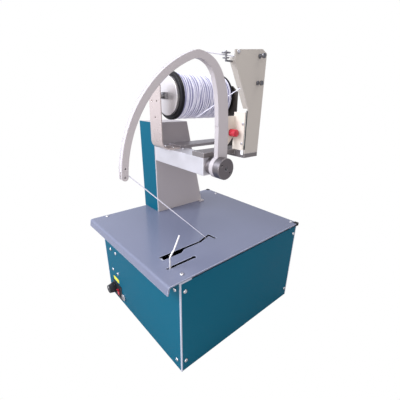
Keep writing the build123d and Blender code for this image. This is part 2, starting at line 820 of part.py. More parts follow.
def spool_disc():
    """Aluminium plate that turns with the bobbin in front of its flange."""
    disc = rod_y(bobbin_y0 - 7, bobbin_y0, spool_x, spool_z, spool_disc_r)
    disc = chamfer(disc.edges().sort_by(Axis.Y)[:1], 0.8)
    return disc - rod_y(bobbin_y0 - 8, bobbin_y0 + 1, spool_x, spool_z, axle_r + run_gap)


def spool_axle():
    """Fixed axle with a square collar in front of the disc."""
    axle = rod_y(strip_y + strip_t, rear_y0, spool_x, spool_z, axle_r)
    axle += block(
        spool_x - 8, spool_x + 8, bobbin_y0 - 16, bobbin_y0 - 7 - face_gap, spool_z - 8, spool_z + 8
    )
    return axle


def spool_bracket():
    """Bright strip: upright in front, bent at its bottom to a foot on the beam."""
    spine = FilletPolyline(
        (strip_y + strip_t / 2, strip_top),
        (strip_y + strip_t / 2, beam_z1 + strip_t / 2),
        (-30, beam_z1 + strip_t / 2),
        radius=bend_r - strip_t / 2,
    )
    outline = make_face(offset(spine, amount=strip_t / 2, kind=Kind.INTERSECTION))
    strip = Pos(strip_x0, 0, 0) * extrude(Plane.YZ * outline, strip_x1 - strip_x0, dir=(1, 0, 0))
    for x, z, r in ((-86, 577, 2.6), (-64, 577, 2.6), (-74, 539, 2.6)):
        strip -= rod_y(strip_y - 1, strip_y + strip_t + 1, x, z, r)
    for x in strip_foot_x:
        strip -= screw_hole((x, -44, beam_z1 + strip_t), "+z", strip_t, 3.5)
    return strip


def spool_bar():
    """Flat bar on the beam that runs back under the spool."""
    return block(strip_x0, strip_x1, -27, rear_y0 + rear_t, beam_z1, bar_top)


def spool_rear_plate():
    """Dark plate behind the spool that holds the axle's far end."""
    points = [
        (-80, bar_top),
        (-46, bar_top),
        (-46, cross_z0),
        (-6, cross_z0),
        (-8, 480),
        (-12, 530),
        (-4, 542),
        (-4, 603),
        (-24, 618),
        (-120, 618),
        (-140, 603),
        (-140, 552),
        (-80, 546),
    ]
    plate = plate_y(rear_y0, rear_y0 + rear_t, points)
    return plate


def guide_plate():
    """Wedge of folded sheet that carries the thread guides."""
    outline = [
        (cross_y0, guide_z0),
        (cross_y1, guide_z0),
        (95, 680),
        (79, 687),
        (-8, 677),
        (-6, 656),
        (45, 566),
    ]
    plate = plate_x(guide_x1 - guide_t, guide_x1, outline)
    flange = [(-6.8, flange_top), (-6, 656), (45, 566), (47.6, 567.4), (-3, 656.8), (-3.8, flange_top)]
    plate += plate_x(guide_x1 - guide_flange, guide_x1, flange)
    for run in ([spool_exit, flange_hole], [flange_hole, turn_top], [turn_top, top_end]):
        plate -= tube(run, [], thread_hole_r)
    plate -= Pos(*flange_hole) * Sphere(thread_hole_r + 0.6)
    for y, z in guide_bolts + [corner_screw]:
        plate -= screw_hole((guide_x1, y, z), "+x", guide_t, 4.2)
    return plate


def tension_bracket():
    """Angle bracket beside the guide plate with a leg towards the front."""
    bracket = block(77, guide_x1 - guide_t - 1, cross_y0 - 3, cross_y0, carrier_top, 558)
    leg = [(cross_y0 - 3, 504), (cross_y0 - 3, 549), (cross_y0 - 30, 549), (cross_y0 - 30, 476)]
    bracket += plate_x(77, 80, leg)
    bracket -= rod_x(76, 81, tension_y, tension_z, 2.6)
    for z in (488.0, 533.0):
        bracket -= screw_hole((cream_screw_x, cross_y0 - 3, z), "-y", 3, 3.5)
    return bracket


def bracket_screws():
    """Button screws of the brackets, the column's foot and the beam."""
    screws = [button_screw((cream_screw_x, cross_y0 - 3, z), "-y", 3, 3.5) for z in (488.0, 533.0)]
    screws += [button_screw((x, -44, beam_z1 + strip_t), "+z", strip_t, 3.5) for x in strip_foot_x]
    screws.append(button_screw((col_x1 + 7, col_back_low - 8, table_top + 4), "+z", 4, 3.5))
    screws.append(button_screw((guide_x1, *corner_screw), "+x", guide_t, 4.2))
    for x in beam_top_x:
        screws.append(button_screw((x, beam_top_y, beam_z1), "+z", 8, 4.2))
    for y, z in beam_bolts:
        screws.append(button_screw((col_x1 - side_plate_t, y, z), "-x", side_plate_t + 10, 4.0))
    return Compound(children=screws)


def thread_guides():
    """Guide posts on the plate and the disc guide at its top corner."""
    posts = []
    for y, z in guide_bolts:
        post = rod_x(guide_x1 - guide_t, guide_x1 + 14, y, z, 2.0)
        post += rod_x(guide_x1, guide_x1 + 2.5, y, z, 4.6)
        post += rod_x(guide_x1 + 10, guide_x1 + 14, y, z, 5.0)
        posts.append(post)
    pin = block(104, 108, pin_y, pin_root_y, 655, 658) + rod_z(655, 674, 106, pin_y, 1.8)
    pin += rod_z(660.5, 662, 106, pin_y, 7.0) + rod_z(669.5, 671, 106, pin_y, 9.0)
    posts.append(pin)
    small = rod_x(guide_x1 - guide_t - 12, guide_x1 - guide_t, turn_y, turn_z, turn_r)
    posts.append(small)
    return Compound(children=posts)


def tension_discs():
    """Two dished discs that pinch the thread, with their fixed post."""
    post = rod_x(58, 80, tension_y, tension_z, 2.6)
    first = rod_x(72, 73.2, tension_y, tension_z, 11) - rod_x(50, 80, tension_y, tension_z, 2.6)
    second = rod_x(69, 70.2, tension_y, tension_z, 11) - rod_x(50, 80, tension_y, tension_z, 2.6)
    post += rod_x(80, 92, tension_y, tension_z, 2.5)
    return Compound(children=[post, first, second])


def coil_x(x0, x1, y, z, r, wire_r, turns):
    """A round wire coil along X."""
    helix = Helix(pitch=(x1 - x0) / turns, height=x1 - x0, radius=r)
    section = Plane(helix @ 0, z_dir=helix % 0) * Circle(wire_r)
    wound = sweep(section, path=helix)
    return Pos(x0, y, z) * Rot(0, 90, 0) * wound


def springs():
    """The tension spring behind the discs and the trigger's return spring."""
    tension = coil_x(59.5, 68, tension_y, tension_z, 4.4, 0.5, 5)
    trigger = coil_x(trig_x + 7.6, trig_x + 13.4, trig_y, trig_pivot_z, 4.2, 0.5, 4)
    return Compound(children=[tension, trigger])


def tension_knob():
    """Red screw knob on the tension post."""
    knob = rod_x(80.6, 99.0, tension_y, tension_z, 8.7)
    knob = fillet(knob.edges().sort_by(Axis.X)[-1:], 2.5)
    for k in range(12):
        a = radians(30 * k)
        groove = rod_x(81.5, 100, tension_y + 9.4 * cos(a), tension_z + 9.4 * sin(a), 1.3)
        knob -= groove
    return knob - rod_x(80, 93, tension_y, tension_z, 2.5 + run_gap)


# ---------------------------------------------------------------- thread
def supply_thread():
    """Thread from the spool through the flange's hole to the top guide."""
    return tube([spool_exit, flange_hole, turn_top, top_end], supply_bends, thread_r)


def bridge_thread():
    """Thread from the top guide over to the top of the arm."""
    return tube([bridge_start, bridge_end], [], thread_r)


def arm_thread():
    """Thread along the groove in the arm's edge, from its top to the eyelet."""
    end = eyelet_angle + 2.0
    start = arc_end_out - 1.0
    a = polar(groove_r, start, arm_mid_x)
    b = polar(groove_r, (start + end) / 2, arm_mid_x)
    c = polar(groove_r, end, arm_mid_x)
    path = ThreePointArc(a, b, c)
    section = Plane(path @ 0, z_dir=path % 0) * Circle(thread_r)
    return sweep(section, path=path)


def tie_thread():
    """Taut thread from the arm's eyelet down to the table's slot."""
    start = polar(arc_in - 2.5, eyelet_angle, arm_mid_x)
    return tube([start, (91.5, -54.0, table_top - 2)], [], thread_r)


nodes = {
    "base_plate": base_plate(),
    "cabinet_frame": cabinet_frame(),
    "front_panel": front_panel(),
    "side_panels": Compound(children=[side_panel(1), side_panel(-1)]),
    "back_panel": back_panel(),
    "panel_screws": Compound(children=[button_screw(at, way, 7) for at, way in cabinet_screws]),
    "table_plate": work_table(),
    "column_cover": column_cover(),
    "column_side_plate": column_side_plate(),
    "column_front_cover": column_front_cover(),
    "beam_housing": beam_housing(),
    "guide_carrier": guide_carrier(),
    "spool_bracket": spool_bracket(),
    "spool_rear_plate": spool_rear_plate(),
    "spool_axle": spool_axle(),
    "spool_bar": spool_bar(),
    "guide_plate": guide_plate(),
    "tension_bracket": tension_bracket(),
    "bracket_screws": bracket_screws(),
    "thread_guides": thread_guides(),
    "tension_discs": tension_discs(),
    "springs": springs(),
    "control_plate": control_plate(),
    "pedal_socket": pedal_socket(),
    "gear_motor": gear_motor(),
    "bearings": bearings(),
    "arm_belt": belt_loop(pulley_x, rocker_y, rocker_z, rocker_r, arm_y, arm_z, small_pulley_r),
    "knotter_belt": belt_loop(knot_belt_x, main_y, main_z, drive_pulley_r, knot_y, knot_z, knot_pulley_r),
    "knotter_bracket": knotter_bracket() + cutter_pin(),
    "control_board": control_board(),
    "power_inlet": power_inlet(),
    "trigger_block": trigger_block(),
    "trigger_switch": trigger_switch(),
    "supply_thread": supply_thread(),
    "bridge_thread": bridge_thread(),
    "swing_arm": swing_arm(),
    "arm_hub": arm_hub(),
    "hub_disc": hub_disc(),
    "arm_shaft": arm_shaft(),
    "upper_pulley": pulley(pulley_x, arm_y, arm_z, small_pulley_r, shaft_r),
    "arm_eyelets": arm_eyelets(),
    "arm_thread": arm_thread(),
    "tie_thread": tie_thread(),
    "lower_pulley": pulley(pulley_x, rocker_y, rocker_z, rocker_r, shaft_r),
    "rocker_lever": rocker_lever(),
    "connecting_rod": connecting_rod(),
    "main_shaft": main_shaft(),
    "crank_disc": crank_disc(),
    "drive_pulley": pulley(knot_belt_x, main_y, main_z, drive_pulley_r, main_r),
    "knotter_bill": knotter_bill(),
    "knotter_pulley": pulley(knot_belt_x, knot_y, knot_z, knot_pulley_r, knot_r),
    "cutter_lever": cutter_lever(),
    "trigger_wire": trigger_wire(),
    "speed_knob": speed_knob(),
    "power_rocker": power_rocker(),
    "spool_bobbin": spool_bobbin(),
    "thread_winding": thread_winding(),
    "spool_disc": spool_disc(),
    "tension_knob": tension_knob(),
}

for name, shape in nodes.items():
    export_step(shape, "parts/" + name + ".step")
print("thread bends", supply_bends, "mm,", len(nodes), "nodes")
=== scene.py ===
import bpy
import numpy as np
from mathutils import Matrix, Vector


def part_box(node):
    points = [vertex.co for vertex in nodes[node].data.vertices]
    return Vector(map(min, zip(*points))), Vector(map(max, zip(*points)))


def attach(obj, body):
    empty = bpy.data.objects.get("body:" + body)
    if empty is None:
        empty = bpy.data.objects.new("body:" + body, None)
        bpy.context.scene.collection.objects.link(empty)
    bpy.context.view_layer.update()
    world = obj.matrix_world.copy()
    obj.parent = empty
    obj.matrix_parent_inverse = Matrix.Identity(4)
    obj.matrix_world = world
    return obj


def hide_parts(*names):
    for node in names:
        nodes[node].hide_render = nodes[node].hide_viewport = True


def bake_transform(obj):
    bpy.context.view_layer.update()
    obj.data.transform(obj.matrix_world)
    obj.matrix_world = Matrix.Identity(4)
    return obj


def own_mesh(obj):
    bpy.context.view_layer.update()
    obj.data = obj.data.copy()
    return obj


# Desktop thread tying machine: the CAD nodes get their finishes here, and the
# threads, the winding, the label, the caps and the small trim are made as new meshes.
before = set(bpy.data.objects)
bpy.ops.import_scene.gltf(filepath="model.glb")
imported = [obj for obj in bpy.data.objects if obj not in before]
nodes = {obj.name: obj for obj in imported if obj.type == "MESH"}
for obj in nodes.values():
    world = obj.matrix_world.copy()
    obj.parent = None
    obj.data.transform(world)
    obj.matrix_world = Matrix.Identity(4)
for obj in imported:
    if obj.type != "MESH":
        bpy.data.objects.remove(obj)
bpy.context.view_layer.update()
scene = bpy.context.scene
mm = 0.001


# sRGB hex to a linear RGBA tuple.
def hexColour(text):
    parts = [int(text[i:i + 2], 16) / 255 for i in (1, 3, 5)]
    linear = [c / 12.92 if c <= 0.04045 else ((c + 0.055) / 1.055) ** 2.4 for c in parts]
    return (*linear, 1.0)


# Adds a node, sets its properties, and sets or links its inputs.
def addNode(tree, kind, settings=None, inputs=None):
    node = tree.nodes.new(kind)
    for key, value in (settings or {}).items():
        setattr(node, key, value)
    for key, value in (inputs or {}).items():
        if isinstance(value, bpy.types.NodeSocket):
            tree.links.new(value, node.inputs[key])
        else:
            node.inputs[key].default_value = value
    return node


def newMaterial(name):
    material = bpy.data.materials.new(name)
    material.use_nodes = True
    tree = material.node_tree
    tree.nodes.clear()
    shader = addNode(tree, "ShaderNodeBsdfPrincipled")
    addNode(tree, "ShaderNodeOutputMaterial", inputs={"Surface": shader.outputs[0]})
    return material, tree, shader


def setShader(shader, values):
    for key, value in values.items():
        shader.inputs[key].default_value = value


# Gives every slot of the named CAD nodes this material.
def paint(material, *names):
    for name in names:
        node = nodes[name]
        if not node.data.materials:
            node.data.materials.append(material)
        for i in range(len(node.data.materials)):
            node.data.materials[i] = material


# A mesh object at the origin from whole arrays of vertices and faces.
def meshPiece(name, verts, faces, material, smooth=True):
    mesh = bpy.data.meshes.new(name)
    mesh.from_pydata(np.asarray(verts).tolist(), [], list(map(list, faces)))
    mesh.update()
    mesh.polygons.foreach_set("use_smooth", [smooth] * len(mesh.polygons))
    mesh.materials.append(material)
    piece = bpy.data.objects.new(name, mesh)
    scene.collection.objects.link(piece)
    return piece


# Quads of a rows by cols grid, numbered row by row.
def gridFaces(rows, cols, wrapRows=False, wrapCols=True):
    i = np.arange(rows if wrapRows else rows - 1)
    j = np.arange(cols if wrapCols else cols - 1)
    i, j = np.meshgrid(i, j, indexing="ij")
    a = i * cols + j
    b = i * cols + (j + 1) % cols
    c = ((i + 1) % rows) * cols + (j + 1) % cols
    d = ((i + 1) % rows) * cols + j
    return np.stack([a, b, c, d], axis=-1).reshape(-1, 4)


# Tube along a path: the section radius is r (1 - depth + depth cos(lobes a + twist)), and the
# twist grows with the distance along the path, so the plies wind round. A fan closes each end.
def twistedTube(path, radius, lobes=3, depth=0.06, pitch=0.016, sides=12, aside=(1.0, 0, 0)):
    path = np.asarray(path, float)
    step = np.gradient(path, axis=0)
    tangent = step / np.linalg.norm(step, axis=1)[:, None]
    lengths = np.concatenate([[0], np.cumsum(np.linalg.norm(np.diff(path, axis=0), axis=1))])
    u = np.cross(tangent, np.array(aside))
    u /= np.linalg.norm(u, axis=1)[:, None]
    v = np.cross(tangent, u)
    angle = np.linspace(0, 2 * np.pi, sides, endpoint=False)
    twist = 2 * np.pi * lengths[:, None] / pitch
    r = radius * (1 - depth + depth * np.cos(lobes * angle[None] + twist))
    ring = path[:, None] + r[..., None] * (
        np.cos(angle)[None, :, None] * u[:, None] + np.sin(angle)[None, :, None] * v[:, None]
    )
    verts = ring.reshape(-1, 3)
    rows = len(path)
    first, last = len(verts), (rows - 1) * sides
    verts = np.concatenate([verts, path[:1], path[-1:]])
    j = np.arange(sides)
    k = (j + 1) % sides
    startFan = np.stack([np.full(sides, first), k, j], axis=-1)
    endFan = np.stack([last + j, last + k, np.full(sides, first + 1)], axis=-1)
    return verts, gridFaces(rows, sides).tolist() + startFan.tolist() + endFan.tolist()


cameraSettings = {
    "place": (0.5422, -0.4589, 0.5883),
    "right": (0.66591, 0.74565, 0.02399),
    "up": (-0.31129, 0.24849, 0.91724),
    "back": (0.67798, -0.61826, 0.39759),
    "lens": 24.15,
    "sensor": 36.0,
    "nearest": 0.02,
    "shift": (-0.0203, 0.0337),
}
cameraData = bpy.data.cameras.new("camera")
cameraData.lens = cameraSettings["lens"]
cameraData.sensor_width = cameraSettings["sensor"]
cameraData.shift_x, cameraData.shift_y = cameraSettings["shift"]
cameraData.clip_start = cameraSettings["nearest"]
camera = bpy.data.objects.new("camera", cameraData)
turn = Matrix((cameraSettings["right"], cameraSettings["up"], cameraSettings["back"])).transposed()
camera.matrix_world = Matrix.Translation(cameraSettings["place"]) @ turn.to_4x4()
scene.collection.objects.link(camera)
scene.camera = camera
scene.view_settings.view_transform = "Standard"

lightSettings = {
    "sky": "#f4f5ff",
    "skyLow": 0.5,  # strength towards the right and back
    "skyHigh": 1.4,  # strength towards the front left
    "skyAxis": (0.45, 0.88, 0.05),
    "skyReach": 0.9,  # the strength stops changing past this share of the axis
    "lamps": [
        # name, place, aimed at, size, watts, colour
        ("frontSoftbox", (-0.6, -1.5, 1.45), (-0.05, -0.1, 0.3), 0.9, 32.0, "#eef3ff"),
        ("cornerSoftbox", (1.0, -1.1, 0.45), (0.19, -0.19, 0.1), 0.5, 5.0, "#fff6f0"),
        ("topSoftbox", (0.5, 0.5, 2.0), (0, 0, 0.4), 1.0, 12.0, "#fff8f2"),
    ],
    "floor": "#b9b6b4",
    "floorSize": 9.0,
    "floorRings": 8,
    "floorSpokes": 48,
    "floorDropMm": 0.4,  # below the machine's base, so the two faces don't share a plane
}


# Sky whose strength falls evenly from the front left to the right and back. What is seen directly
# stays plain white.
def buildSky(look):
    world = bpy.data.worlds.new("studioWorld")
    world.use_nodes = True
    tree = world.node_tree
    tree.nodes.clear()
    towards = addNode(tree, "ShaderNodeTexCoord").outputs["Generated"]
    side = addNode(tree, "ShaderNodeVectorMath", {"operation": "DOT_PRODUCT"}, {
        0: towards, 1: look["skyAxis"],
    })
    strength = addNode(tree, "ShaderNodeMapRange", {"interpolation_type": "SMOOTHSTEP"}, {
        "Value": side.outputs["Value"],
        "From Min": -look["skyReach"], "From Max": look["skyReach"],
        "To Min": look["skyHigh"], "To Max": look["skyLow"],
    })
    lit = addNode(tree, "ShaderNodeBackground", None, {
        "Color": hexColour(look["sky"]), "Strength": strength.outputs[0],
    })
    seen = addNode(tree, "ShaderNodeBackground", None, {"Color": (1, 1, 1, 1), "Strength": 1.0})
    path = addNode(tree, "ShaderNodeLightPath")
    both = addNode(tree, "ShaderNodeMixShader", None, {
        0: path.outputs["Is Camera Ray"], 1: lit.outputs[0], 2: seen.outputs[0],
    })
    addNode(tree, "ShaderNodeOutputWorld", None, {"Surface": both.outputs[0]})
    scene.world = world


# A round floor: radius grows with the first parameter, the angle with the second.
def buildStage(look):
    buildSky(look)
    for name, place, target, size, watts, colour in look["lamps"]:
        data = bpy.data.lights.new(name, "AREA")
        data.size = size
        data.energy = watts
        data.color = hexColour(colour)[:3]
        lamp = bpy.data.objects.new(name, data)
        back = np.array(place) - np.array(target)
        back /= np.linalg.norm(back)
        right = np.cross((0, 0, 1), back)
        right /= np.linalg.norm(right)
        up = np.cross(back, right)
        spin = Matrix((right, up, back)).transposed().to_4x4()
        lamp.matrix_world = Matrix.Translation(place) @ spin
        scene.collection.objects.link(lamp)
    # seen directly the floor is plain white; to every other ray it is matte grey paper
    material, tree, shader = newMaterial("studioFloorPaper")
    setShader(shader, {
        "Base Color": hexColour(look["floor"]), "Roughness": 0.9, "Specular IOR Level": 0.0,
    })
    white = addNode(tree, "ShaderNodeEmission", None, {"Color": (1, 1, 1, 1), "Strength": 1.0})
    path = addNode(tree, "ShaderNodeLightPath")
    seen = addNode(tree, "ShaderNodeMixShader", None, {
        0: path.outputs["Is Camera Ray"], 1: shader.outputs[0], 2: white.outputs[0],
    })
    output = addNode(tree, "ShaderNodeOutputMaterial", None, {"Surface": seen.outputs[0]})
    output.is_active_output = True
    rings, spokes = look["floorRings"], look["floorSpokes"]
    radius = np.linspace(0.01, look["floorSize"] / 2, rings)
    angle = np.linspace(0, 2 * np.pi, spokes, endpoint=False)
    r, a = np.meshgrid(radius, angle, indexing="ij")
    height = np.full_like(r, -look["floorDropMm"] * mm)
    verts = np.stack([r * np.cos(a), r * np.sin(a), height], axis=-1).reshape(-1, 3)
    floor = meshPiece("studioFloor", verts, gridFaces(rings, spokes), material, smooth=False)


buildStage(lightSettings)
print("camera, floor and lights set")

# Shared by the finishes: how far the roughness drifts either way, how deep the bumps are, how
# many finger smudges there are to a metre, and a streak's width over its length.
relief = {"enamelDrift": 0.08, "metalDrift": 0.06, "peelMm": 0.2, "grainMm": 0.05, "fuzzMm": 0.1,
          "smudgesPerMetre": 28.0, "streakShare": 0.02}
# The cosine between the true normal and the same normal softened over the edge's width: no pale
# edge at "flat" and above, full pale edge at "sharp" and below. The pale edge is part wear, part
# painted highlight.
wornAndHighlitEdgeMask = {"flat": 0.985, "sharp": 0.86, "samples": 4}


# Edges painted a paler colour, part wear and part painted highlight, linked to the shader. Returns
# the softened normal.
def paleEdgesWornAndHighlit(tree, shader, colour, look):
    soft = addNode(tree, "ShaderNodeBevel", {"samples": wornAndHighlitEdgeMask["samples"]}, {
        "Radius": look["edgeMm"] * mm,
    })
    sharp = addNode(tree, "ShaderNodeNewGeometry")
    both = addNode(tree, "ShaderNodeVectorMath", {"operation": "DOT_PRODUCT"}, {
        0: soft.outputs[0], 1: sharp.outputs["True Normal"],
    })
    edge = addNode(tree, "ShaderNodeMapRange", {"clamp": True}, {
        "Value": both.outputs["Value"], "From Min": wornAndHighlitEdgeMask["flat"], "From Max": wornAndHighlitEdgeMask["sharp"],
        "To Min": 0.0, "To Max": 1.0,
    })
    edged = addNode(tree, "ShaderNodeMix", {"data_type": "RGBA"}, {
        0: edge.outputs[0], 6: colour.outputs[2], 7: hexColour(look["wornAndHighlitEdgeColour"]),
    })
    tree.links.new(edged.outputs[2], shader.inputs["Base Color"])
    return soft.outputs[0]


# Sheet enamel: a base colour that drifts slowly, orange peel, and paler edges that are part wear,
# part painted highlight.
def enamel(name, look):
    material, tree, shader = newMaterial(name)
    place = addNode(tree, "ShaderNodeTexCoord").outputs["Object"]
    drift = addNode(tree, "ShaderNodeTexNoise", None, {
        "Vector": place, "Scale": 1 / (look["driftMm"] * mm), "Detail": 3.0,
    })
    colour = addNode(tree, "ShaderNodeMix", {"data_type": "RGBA"}, {
        0: drift.outputs[0], 6: hexColour(look["colour"]), 7: hexColour(look["drifted"]),
    })
    softNormal = paleEdgesWornAndHighlit(tree, shader, colour, look)
    peel = addNode(tree, "ShaderNodeTexNoise", None, {
        "Vector": place, "Scale": 1 / (look["peelMm"] * mm), "Detail": 2.0,
    })
    bump = addNode(tree, "ShaderNodeBump", None, {
        "Height": peel.outputs[0], "Strength": look["peel"],
        "Distance": relief["peelMm"] * mm, "Normal": softNormal,
    })
    tree.links.new(bump.outputs[0], shader.inputs["Normal"])
    rough = addNode(tree, "ShaderNodeMapRange", None, {
        "Value": drift.outputs[0], "From Min": 0.0, "From Max": 1.0,
        "To Min": look["roughness"] - relief["enamelDrift"],
        "To Max": look["roughness"] + relief["enamelDrift"],
    })
    tree.links.new(rough.outputs[0], shader.inputs["Roughness"])
    setShader(shader, {
        "IOR": 1.5, "Metallic": look.get("metallic", 0.0),
        "Specular IOR Level": look.get("gloss", 0.5),
    })
    return material


# Machined or rolled metal: fine streaks along one axis in colour and height.
def brushedMetal(name, look):
    material, tree, shader = newMaterial(name)
    place = addNode(tree, "ShaderNodeTexCoord").outputs["Object"]
    fine = 1 / (look["streakMm"] * mm)
    long = fine * relief["streakShare"]
    scale = [long if axis == look["along"] else fine for axis in "xyz"]
    stretched = addNode(tree, "ShaderNodeMapping", None, {"Vector": place, "Scale": scale})
    streak = addNode(tree, "ShaderNodeTexNoise", None, {
        "Vector": stretched.outputs[0], "Scale": 1.0, "Detail": 4.0, "Roughness": 0.65,
    })
    smudge = addNode(tree, "ShaderNodeTexNoise", None, {
        "Vector": place, "Scale": relief["smudgesPerMetre"], "Detail": 2.0,
    })
    blend = addNode(tree, "ShaderNodeMath", {"operation": "MULTIPLY_ADD"}, {
        0: streak.outputs[0], 1: 0.6, 2: 0.2,
    })
    colour = addNode(tree, "ShaderNodeMix", {"data_type": "RGBA"}, {
        0: blend.outputs[0], 6: hexColour(look["colour"]), 7: hexColour(look["streaked"]),
    })
    softNormal = paleEdgesWornAndHighlit(tree, shader, colour, look)
    bump = addNode(tree, "ShaderNodeBump", None, {
        "Height": streak.outputs[0], "Strength": look["depth"],
        "Distance": relief["grainMm"] * mm, "Normal": softNormal,
    })
    tree.links.new(bump.outputs[0], shader.inputs["Normal"])
    rough = addNode(tree, "ShaderNodeMapRange", None, {
        "Value": smudge.outputs[0], "From Min": 0.3, "From Max": 0.7,
        "To Min": look["roughness"] - relief["metalDrift"],
        "To Max": look["roughness"] + relief["metalDrift"],
    })
    tree.links.new(rough.outputs[0], shader.inputs["Roughness"])
    setShader(shader, {"Metallic": look["metallic"]})
    return material


# Lathe-turned metal: rings about an axis, by the distance from that axis.
def turnedMetal(name, look):
    material, tree, shader = newMaterial(name)
    place = addNode(tree, "ShaderNodeTexCoord").outputs["Object"]
    keep = [0.0 if axis == look["axis"] else 1.0 for axis in "xyz"]
    fromAxis = addNode(tree, "ShaderNodeVectorMath", {"operation": "SUBTRACT"}, {
        0: place, 1: look["centre"],
    })
    flat = addNode(tree, "ShaderNodeVectorMath", {"operation": "MULTIPLY"}, {
        0: fromAxis.outputs[0], 1: keep,
    })
    far = addNode(tree, "ShaderNodeVectorMath", {"operation": "LENGTH"}, {0: flat.outputs[0]})
    rings = addNode(tree, "ShaderNodeTexNoise", {"noise_dimensions": "1D"}, {
        "W": far.outputs["Value"], "Scale": 1 / (look["ringMm"] * mm), "Detail": 3.0,
    })
    colour = addNode(tree, "ShaderNodeMix", {"data_type": "RGBA"}, {
        0: rings.outputs[0], 6: hexColour(look["colour"]), 7: hexColour(look["streaked"]),
    })
    softNormal = paleEdgesWornAndHighlit(tree, shader, colour, look)
    bump = addNode(tree, "ShaderNodeBump", None, {
        "Height": rings.outputs[0], "Strength": look["depth"],
        "Distance": relief["grainMm"] * mm, "Normal": softNormal,
    })
    tree.links.new(bump.outputs[0], shader.inputs["Normal"])
    setShader(shader, {"Metallic": look["metallic"], "Roughness": look["roughness"]})
    return material


# Moulded plastic or rubber: spark-eroded grain as bump, slight colour cloud.
def mouldedPlastic(name, look):
    material, tree, shader = newMaterial(name)
    place = addNode(tree, "ShaderNodeTexCoord").outputs["Object"]
    grain = addNode(tree, "ShaderNodeTexNoise", None, {
        "Vector": place, "Scale": 1 / (look["grainMm"] * mm), "Detail": 3.0,
    })
    colour = addNode(tree, "ShaderNodeMix", {"data_type": "RGBA"}, {
        0: grain.outputs[0], 6: hexColour(look["colour"]), 7: hexColour(look["clouded"]),
    })
    tree.links.new(colour.outputs[2], shader.inputs["Base Color"])
    soft = addNode(tree, "ShaderNodeBevel", {"samples": wornAndHighlitEdgeMask["samples"]}, {
        "Radius": look.get("edgeMm", 0.5) * mm,
    })
    bump = addNode(tree, "ShaderNodeBump", None, {
        "Height": grain.outputs[0], "Strength": look["grain"],
        "Distance": relief["grainMm"] * mm, "Normal": soft.outputs[0],
    })
    tree.links.new(bump.outputs[0], shader.inputs["Normal"])
    setShader(shader, {
        "Roughness": look["roughness"], "IOR": look["ior"], "Coat Weight": look.get("coat", 0.0),
        "Specular IOR Level": look.get("gloss", 0.5),
    })
    return material


# In every look below, the pale edge colour is part wear and part painted highlight.
enamels = {
    # powder-coated steel: deep teal, fine orange peel, a paler line on each fold as wear and
    # painted highlight
    "tealPowderCoat": {"colour": "#07556b", "drifted": "#095b71", "driftMm": 180, "edgeMm": 0.8,
                       "wornAndHighlitEdgeColour": "#3f87a6", "peelMm": 1.6, "peel": 0.2, "roughness": 0.5,
                       "gloss": 0.08},
    # satin enamel on the table: cool grey-blue that mirrors the column softly; the paler band along
    # each bend is painted highlight
    "tableSatinEnamel": {"colour": "#6d7286", "drifted": "#73788c", "driftMm": 240, "edgeMm": 3.0,
                         "wornAndHighlitEdgeColour": "#c3c8de", "peelMm": 2.2, "peel": 0.05, "roughness": 0.22},
    # satin enamel on the column's sides: a warm mid grey
    "columnGreyEnamel": {"colour": "#b5aeae", "drifted": "#bbb4b4", "driftMm": 160, "edgeMm": 1.0,
                         "wornAndHighlitEdgeColour": "#d4d0d1", "peelMm": 1.8, "peel": 0.15, "roughness": 0.36},
    # pale primer grey on the corner posts
    "frameGreyEnamel": {"colour": "#b4b8c6", "drifted": "#bcc0cc", "driftMm": 120, "edgeMm": 0.8,
                        "wornAndHighlitEdgeColour": "#d6d9e2", "peelMm": 1.6, "peel": 0.15, "roughness": 0.4},
    # satin grey on the folded guide plate
    "guideGreyEnamel": {"colour": "#b7b1a8", "drifted": "#bdb7ae", "driftMm": 120, "edgeMm": 0.9,
                        "wornAndHighlitEdgeColour": "#d9d5d3", "peelMm": 1.6, "peel": 0.12, "roughness": 0.42},
    # cream enamel on the angle bracket
    "creamEnamel": {"colour": "#ded5c9", "drifted": "#dad0c2", "driftMm": 60, "edgeMm": 0.8,
                    "wornAndHighlitEdgeColour": "#fbf6ec", "peelMm": 1.5, "peel": 0.12, "roughness": 0.4},
    # dark plate behind the spool
    "darkRearPlate": {"colour": "#3d3733", "drifted": "#453f3a", "driftMm": 60, "edgeMm": 0.8,
                        "wornAndHighlitEdgeColour": "#6b635d", "peelMm": 1.5, "peel": 0.2, "roughness": 0.45},
    # arm: grey satin enamel, edges painted brighter as wear and painted highlight
    "armGreyEnamel": {"colour": "#b5afb0", "drifted": "#bbb5b6", "driftMm": 120, "edgeMm": 1.4,
                      "wornAndHighlitEdgeColour": "#d2cecf", "peelMm": 1.6, "peel": 0.1, "roughness": 0.38},
    # zinc-plated floor of the cabinet
    "zincPlate": {"colour": "#8d8f92", "drifted": "#a2a4a6", "driftMm": 14, "edgeMm": 0.6,
                  "wornAndHighlitEdgeColour": "#b9bbbd", "peelMm": 3.0, "peel": 0.1, "roughness": 0.4,
                  "metallic": 0.8},
}
